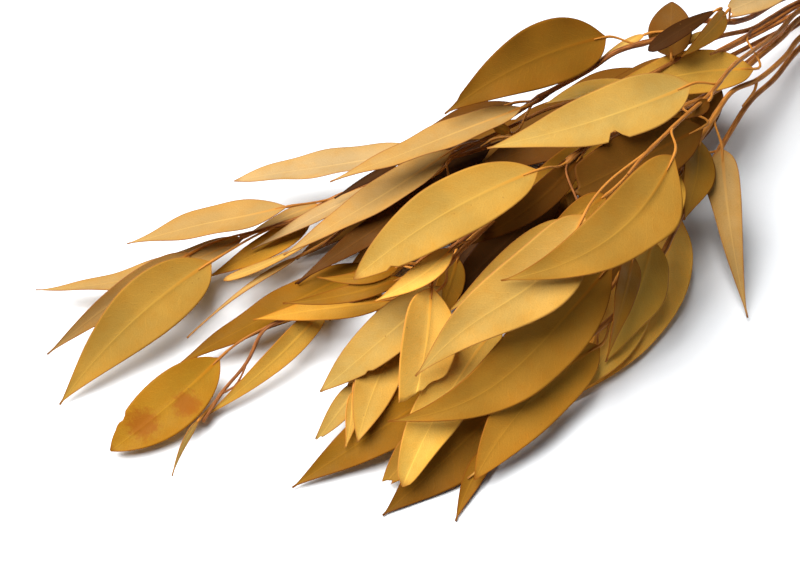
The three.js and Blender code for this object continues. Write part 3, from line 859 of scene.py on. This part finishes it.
def make_branch(number, branch, wood_material, leaf_material):
    wood, leaves = Surface(), Surface()
    bends = stem_points(branch)
    twig_bends = [[array(p) for p in twig["route"]] for twig in branch["twigs"]]
    lines = [samples(bends, STEM_SAMPLES)] + [samples(twig, TWIG_SAMPLES) for twig in twig_bends]
    roots = []
    for k, leaf in enumerate(branch["leaves"]):
        frame_ = leaf_frame(leaf)
        rng = np.random.default_rng(100 * number + k)
        line, root = stalk_line(leaf, frame_, lines)
        roots.append(root)
        add_tube(wood, line, stalk_radii(line), STALK_SIDES, leaf.get("stalk", 1.0))
        add_blade(leaves, leaf, frame_, rng, rng.uniform(0, 40))
    line = even_rings(bends, RING_STEP)
    add_tube(wood, line, stem_radii(line, branch["radius"], roots), WOOD_SIDES, branch["young"])
    for twig, points in zip(branch["twigs"], twig_bends):
        line = even_rings(points, RING_STEP)
        add_tube(wood, line, stem_radii(line, twig["radius"], roots), WOOD_SIDES, branch["young"])
    node = branch["name"]
    wood.build(node + "_wood", wood_material, node)
    leaves.build(node + "_leaves", leaf_material, node)


# Tints that multiply a leaf's tone
LEAF_LEVEL = (0.91, 0.91, 0.91, 1)
PALE_PATCH = (1.14, 1.10, 1.02, 1)
WARM_PATCH = (1.0, 0.90, 0.72, 1)
DULL_GRAIN = (0.76, 0.74, 0.66, 1)
ORANGE_EDGE = (1.03, 0.91, 0.68, 1)
PALE_VEIN = (1.16, 1.12, 1.05, 1)
RIB_AT_STALK = (1.25, 0.95, 0.60, 1)
RIB_AT_TIP = (1.32, 1.30, 1.15, 1)
RED_MARGIN = (0.78, 0.50, 0.42, 1)
BROWN_FOOT = (1.05, 0.75, 0.50, 1)
WITHERED_TIP = (0.60, 0.34, 0.26, 1)
# Painted shade, for leaves darker as if turned from the light
SHADED = (0.45, 0.40, 0.40, 1)
UNDERSIDE = (0.92, 0.93, 0.98, 1)

# Colours of specks, stains, wood, rubber and floor
SPECK = (0.20, 0.085, 0.02, 1)
STAIN = (0.27, 0.055, 0.004, 1)
BARK_DARK = (0.13, 0.036, 0.010, 1)
BARK_RED = (0.42, 0.145, 0.032, 1)
STALK_DARK = (0.44, 0.155, 0.020, 1)
STALK_GOLD = (0.64, 0.265, 0.040, 1)
GREYED = (0.72, 0.60, 0.55, 1)
RUBBER_DARK = (0.50, 0.27, 0.095, 1)
RUBBER_PALE = (0.66, 0.40, 0.16, 1)
FLOOR_DARK = (0.91, 0.935, 0.97, 1)
FLOOR_PALE = (0.93, 0.955, 0.99, 1)


# Materials

class Shader:
    """A material on one Principled BSDF, with short names for the nodes used here."""

    def __init__(self, name, roughness, specular):
        self.material = bpy.data.materials.new(name)
        self.material.use_nodes = True
        self.tree = self.material.node_tree
        self.bsdf = self.tree.nodes["Principled BSDF"]
        self.bsdf.inputs["Roughness"].default_value = roughness
        self.bsdf.inputs["Specular IOR Level"].default_value = specular

    def node(self, kind, inputs=(), **settings):
        made = self.tree.nodes.new(kind)
        for key, value in settings.items():
            setattr(made, key, value)
        for key, value in dict(inputs).items():
            self.feed(made.inputs[key], value)
        return made

    def feed(self, socket, value):
        if isinstance(value, bpy.types.NodeSocket):
            self.tree.links.new(value, socket)
        else:
            socket.default_value = value

    def attribute(self, name):
        vector = self.node("ShaderNodeAttribute", attribute_name=name).outputs["Vector"]
        return vector, self.node("ShaderNodeSeparateXYZ", {0: vector}).outputs

    def math(self, operation, a, b=0.0, c=0.0):
        return self.node("ShaderNodeMath", {0: a, 1: b, 2: c}, operation=operation).outputs[0]

    def vector(self, x, y, z=0.0):
        return self.node("ShaderNodeCombineXYZ", {0: x, 1: y, 2: z}).outputs[0]

    def distance(self, a, b):
        return self.node("ShaderNodeVectorMath", {0: a, 1: b}, operation="DISTANCE").outputs["Value"]

    def noise(self, vector, scale, detail=2.0, roughness=0.5):
        inputs = {"Vector": vector, "Scale": scale, "Detail": detail, "Roughness": roughness}
        return self.node("ShaderNodeTexNoise", inputs).outputs[0]

    def step(self, value, low, high, to_low=0.0, to_high=1.0):
        """Smooth change from to_low to to_high while the value goes from low to high."""
        return self.node("ShaderNodeMapRange", {0: value, 1: low, 2: high, 3: to_low, 4: to_high},
                         interpolation_type="SMOOTHSTEP").outputs[0]

    def mix(self, share, a, b, blend="MIX"):
        made = self.node("ShaderNodeMix", data_type="RGBA", blend_type=blend)
        self.feed(made.inputs[0], share)
        self.feed(made.inputs[6], a)
        self.feed(made.inputs[7], b)
        return made.outputs[2]

    def finish(self, colour, height=None, depth=0.0001, strength=1.0, roughness=None):
        self.feed(self.bsdf.inputs["Base Color"], colour)
        if roughness is not None:
            self.feed(self.bsdf.inputs["Roughness"], roughness)
        if height is not None:
            inputs = {"Strength": strength, "Distance": depth, "Height": height}
            bump = self.node("ShaderNodeBump", inputs)
            self.feed(self.bsdf.inputs["Normal"], bump.outputs[0])
        return self.material


# Rust stains on one leaf: across from the midrib, along from the base, radius
STAINS = ((-6.0, 32.0, 7.0), (1.0, 56.0, 8.0), (3.0, 84.0, 7.0))


def leaf_material():
    m = Shader("dried_leaf", 0.6, 0.06)
    _, (x, y, edge) = m.attribute("leaf_place")
    _, (seed, s, side) = m.attribute("leaf_kind")
    tone, _ = m.attribute("leaf_tone")
    tone = m.mix(1.0, tone, LEAF_LEVEL, "MULTIPLY")
    _, (rust, spots, shade) = m.attribute("leaf_marks")
    place = m.vector(m.math("MULTIPLY_ADD", seed, 37.0, x), m.math("MULTIPLY_ADD", seed, 91.0, y))
    away = m.math("ABSOLUTE", x)

    # Broad patches, then grain
    broad = m.noise(place, 0.035, 3.0)
    patchy = m.noise(place, 0.11, 4.0, 0.6)
    grain = m.noise(place, 1.4, 3.0, 0.6)
    colour = m.mix(m.step(broad, 0.36, 0.66), tone, PALE_PATCH, "MULTIPLY")
    warm = m.mix(1.0, colour, WARM_PATCH, "MULTIPLY")
    colour = m.mix(m.step(patchy, 0.42, 0.72, 0.0, 0.6), colour, warm)
    dull = m.mix(1.0, colour, DULL_GRAIN, "MULTIPLY")
    colour = m.mix(m.step(grain, 0.40, 0.70, 0.0, 0.45), colour, dull)

    # More orange towards the edge than along the midrib
    outward = m.math("DIVIDE", away, m.math("ADD", away, edge))
    orange = m.mix(1.0, colour, ORANGE_EDGE, "MULTIPLY")
    colour = m.mix(m.step(outward, 0.35, 1.0, 0.0, 0.75), colour, orange)

    # Side veins that leave the midrib at a slant and bend towards the tip
    wander = m.noise(place, 0.16, 1.0)
    run = m.math("MULTIPLY_ADD", away, -1.15, y)
    run = m.math("MULTIPLY_ADD", wander, 9.0, run)
    phase = m.math("PINGPONG", m.math("DIVIDE", run, 2.6), 1.0)
    vein = m.step(phase, 0.84, 0.97)
    uneven = m.math("MULTIPLY_ADD", grain, 1.1, run)
    fine = m.math("PINGPONG", m.math("DIVIDE", uneven, 0.62), 1.0)
    veinlet = m.step(fine, 0.6, 0.95)
    inner = m.step(edge, 0.2, 2.0)
    vein = m.math("MULTIPLY", vein, inner)
    paler = m.mix(1.0, colour, PALE_VEIN, "MULTIPLY")
    colour = m.mix(m.math("MULTIPLY", vein, 0.42), colour, paler)
    colour = m.mix(m.math("MULTIPLY", veinlet, 0.12), colour, paler)

    # Midrib: orange near the stalk, pale towards the tip
    reach = m.step(s, -0.2, 0.75, 1.25, 0.25)
    rib = m.step(m.math("DIVIDE", away, reach), 0.5, 1.3, 1.0, 0.0)
    rib_tint = m.mix(m.step(s, 0.02, 0.4), RIB_AT_STALK, RIB_AT_TIP)
    rib = m.math("MULTIPLY", rib, m.step(s, 0.0, 0.7, 1.0, 0.6))
    colour = m.mix(rib, colour, m.mix(1.0, tone, rib_tint, "MULTIPLY"))

    # Reddish margin, and a browner foot
    margin = m.step(m.math("MULTIPLY_ADD", patchy, 0.9, edge), 0.55, 1.15, 1.0, 0.0)
    reddish = m.mix(1.0, tone, RED_MARGIN, "MULTIPLY")
    colour = m.mix(m.math("MULTIPLY", margin, 0.8), colour, reddish)
    foot = m.step(s, 0.0, 0.07, 0.6, 0.0)
    colour = m.mix(foot, colour, m.mix(1.0, tone, BROWN_FOOT, "MULTIPLY"))

    withered = m.step(s, 0.95, 1.0, 0.0, 0.7)
    colour = m.mix(withered, colour, m.mix(1.0, tone, WITHERED_TIP, "MULTIPLY"))

    # Spots, rusty patches, and painted shade: a leaf's shade value darkens it as if turned from the
    # light, more towards the tip, where it also stands for a duller real tip
    specks = m.node("ShaderNodeTexVoronoi", {"Vector": place, "Scale": 0.22}, feature="F1")
    chance = m.node("ShaderNodeSeparateXYZ", {0: specks.outputs[1]}).outputs[0]
    size = m.math("MULTIPLY", chance, 0.16)
    speck = m.math("SUBTRACT", size, specks.outputs[0])
    speck = m.math("MULTIPLY", m.step(speck, 0.03, 0.08), spots)
    colour = m.mix(speck, colour, SPECK)
    blotch = m.noise(place, 0.3, 6.0, 0.7)
    stain = 0.0
    for across, along, size in STAINS:
        distance = m.distance(m.vector(x, y), (across, along, 0.0))
        reach = m.math("MULTIPLY_ADD", blotch, -2.2 * size, m.math("ADD", distance, 1.1 * size))
        stain = m.math("MAXIMUM", stain, m.step(reach, 0.5 * size, 1.4 * size, 1.0, 0.0))
    colour = m.mix(m.math("MULTIPLY", stain, rust), colour, STAIN)
    # Painted shade, partly a duller real tip
    painted_shade_and_dull_tip = m.math("MULTIPLY", shade, m.step(s, 0.1, 0.9, 0.6, 1.3))
    colour = m.mix(painted_shade_and_dull_tip, colour, m.mix(1.0, colour, SHADED, "MULTIPLY"))
    under = m.mix(1.0, colour, UNDERSIDE, "MULTIPLY")
    colour = m.mix(side, under, colour)

    height = m.math("MULTIPLY_ADD", vein, 0.5, m.math("MULTIPLY", grain, 0.5))
    height = m.math("MULTIPLY_ADD", veinlet, 0.18, height)
    return m.finish(colour, height, 0.00012, 0.55, m.step(patchy, 0.3, 0.7, 0.46, 0.66))


def wood_material():
    m = Shader("stem_wood", 0.55, 0.18)
    _, (length, angle, _) = m.attribute("wood_place")
    _, (young, seed, _) = m.attribute("wood_kind")
    shift = m.math("MULTIPLY_ADD", seed, 61.0, m.math("MULTIPLY", length, 0.05))
    cosine, sine = m.math("COSINE", angle), m.math("SINE", angle)
    streaks = m.noise(m.vector(shift, cosine, sine), 2.2, 4.0, 0.6)
    fine = m.noise(m.vector(m.math("MULTIPLY", length, 0.35), cosine, sine), 3.0, 4.0)
    streaky = m.step(streaks, 0.35, 0.68)
    dark = m.mix(streaky, BARK_DARK, BARK_RED)
    golden = m.mix(streaky, STALK_DARK, STALK_GOLD)
    colour = m.mix(young, dark, golden)
    grey = m.mix(1.0, colour, GREYED, "MULTIPLY")
    colour = m.mix(m.step(fine, 0.5, 0.75, 0.0, 0.4), colour, grey)
    return m.finish(colour, fine, 0.00025, 0.6)


def rubber_material():
    m = Shader("rubber", 0.5, 0.35)
    place = m.node("ShaderNodeTexCoord").outputs["Object"]
    cloudy = m.noise(place, 220.0, 3.0)
    colour = m.mix(cloudy, RUBBER_DARK, RUBBER_PALE)
    return m.finish(colour, m.noise(place, 900.0, 2.0), 0.00005, 0.4)


# Rubber band

OUTER_SLOTS = ((2, 0), (3, 1), (2, 2), (-2, 2), (-3, 1), (-2, 0))
CORNER_STEPS = 7
TURN_HALF_WIDTH = 1.02
TURN_HALF_THICK = 0.7
TURNS = ((-3.35, 0.15, 0.0), (-1.15, 0.2, 2.1), (1.1, 0.2, 4.0), (3.3, 0.15, 5.5))
CROSSING_TURN = (0.0, 2.6, -2.0)
CROSSING_LIFT = 1.25
LIFT_START = 0.35
LIFT_SPAN = 0.4
SECTION_SIDES = 12
SQUARENESS = 0.6


def band_loop(radius):
    """Points and outward directions round the outer stems, in Y and Z."""
    points, outward = [], []
    for corner, slot in enumerate(OUTER_SLOTS):
        centre = np.array(stem_place(slot))
        start = math.radians(-90 + 60 * corner)
        for step in range(CORNER_STEPS + 1):
            angle = start + math.radians(60) * step / CORNER_STEPS
            direction = np.array([math.cos(angle), math.sin(angle)])
            points.append(centre + radius * direction)
            outward.append(direction)
    return np.array(points), np.array(outward)


def add_turn(surface, offset, sway, phase, lift=0.0):
    """One turn of the band: a rounded strip round the loop."""
    loop, outward = band_loop(WIDEST_STEM + BAND_GAP + BAND_THICK / 2)
    count = len(loop)
    angles = np.arange(SECTION_SIDES) * 2 * math.pi / SECTION_SIDES
    across = np.sign(np.cos(angles)) * np.abs(np.cos(angles)) ** SQUARENESS * TURN_HALF_WIDTH
    thick = np.sign(np.sin(angles)) * np.abs(np.sin(angles)) ** SQUARENESS * TURN_HALF_THICK
    top = loop[:, 1].max()
    points = []
    for k in range(count):
        turn = 2 * math.pi * k / count
        raised = lift * np.clip((loop[k, 1] / top - LIFT_START) / LIFT_SPAN, 0, 1)
        centre_x = offset + sway * math.cos(turn + phase)
        ring = loop[k] + np.outer(thick + raised, outward[k])
        points.append(np.column_stack([centre_x + across, ring]))
    total = count * SECTION_SIDES
    faces = []
    for k in range(count):
        for side in range(SECTION_SIDES):
            a, b = k * SECTION_SIDES + side, k * SECTION_SIDES + (side + 1) % SECTION_SIDES
            faces.append([a, b, (b + SECTION_SIDES) % total, (a + SECTION_SIDES) % total])
    surface.add(np.concatenate(points), faces)


def make_band():
    band = Surface()
    for offset, sway, phase in TURNS:
        add_turn(band, offset, sway, phase)
    add_turn(band, *CROSSING_TURN, lift=CROSSING_LIFT)
    band.build("rubber_band_turns", rubber_material(), "rubber_band")


# Floor, light and camera, in metres
FLOOR_SIZE = 8.0
FLOOR_MIDDLE = (-0.4, 0.0, 0.0)
SKY_COLOUR = (0.72, 0.88, 1.0, 1)
SKY_STRENGTH = 0.08
KEY_TOWARDS = (-0.5, 0.45, 1.5)
KEY_DISTANCE = 1.8
KEY_SIZE = 1.6
KEY_POWER = 75
KEY_COLOUR = (1.0, 0.99, 0.97)
TARGET = (-0.421, 0.025, 0.0)
VIEW_AZIMUTH = math.radians(-43)
VIEW_ELEVATION = math.radians(50)
VIEW_DISTANCE = 1.125
LENS = 90
SENSOR_WIDTH = 36


def make_floor():
    bpy.ops.mesh.primitive_plane_add(size=FLOOR_SIZE, location=FLOOR_MIDDLE)
    floor = bpy.context.object
    floor.name = "floor"
    m = Shader("floor", 0.9, 0.1)
    place = m.node("ShaderNodeTexCoord").outputs["Object"]
    paper = m.noise(place, 300.0, 2.0)
    colour = m.mix(paper, FLOOR_DARK, FLOOR_PALE)
    floor.data.materials.append(m.finish(colour))


def add_light(name, towards, distance, size, power, colour):
    """A square soft light that looks at the middle of the bunch from a direction."""
    data = bpy.data.lights.new(name, "AREA")
    data.shape = "SQUARE"
    data.size = size
    data.energy = power
    data.color = colour
    light = bpy.data.objects.new(name, data)
    direction = Vector(towards).normalized()
    light.location = Vector(TARGET) + direction * distance
    light.rotation_euler = direction.to_track_quat("Z", "Y").to_euler()
    bpy.context.scene.collection.objects.link(light)


def make_camera():
    back = Vector((
        math.sin(VIEW_AZIMUTH) * math.cos(VIEW_ELEVATION),
        -math.cos(VIEW_AZIMUTH) * math.cos(VIEW_ELEVATION),
        math.sin(VIEW_ELEVATION),
    ))
    data = bpy.data.cameras.new("camera")
    data.lens = LENS
    data.sensor_width = SENSOR_WIDTH
    camera = bpy.data.objects.new("camera", data)
    camera.location = Vector(TARGET) + back * VIEW_DISTANCE
    camera.rotation_euler = back.to_track_quat("Z", "Y").to_euler()
    bpy.context.scene.collection.objects.link(camera)
    bpy.context.scene.camera = camera


def make_world():
    world = bpy.data.worlds.new("studio")
    world.use_nodes = True
    world.node_tree.nodes["Background"].inputs[0].default_value = SKY_COLOUR
    world.node_tree.nodes["Background"].inputs[1].default_value = SKY_STRENGTH
    bpy.context.scene.world = world
    bpy.context.scene.view_settings.view_transform = "Standard"


make_camera()
make_world()
make_floor()
add_light("key", KEY_TOWARDS, KEY_DISTANCE, KEY_SIZE, KEY_POWER, KEY_COLOUR)

WOOD = wood_material()
LEAF = leaf_material()
for index, described in enumerate(BRANCHES):
    make_branch(index + 1, described, WOOD, LEAF)
make_band()
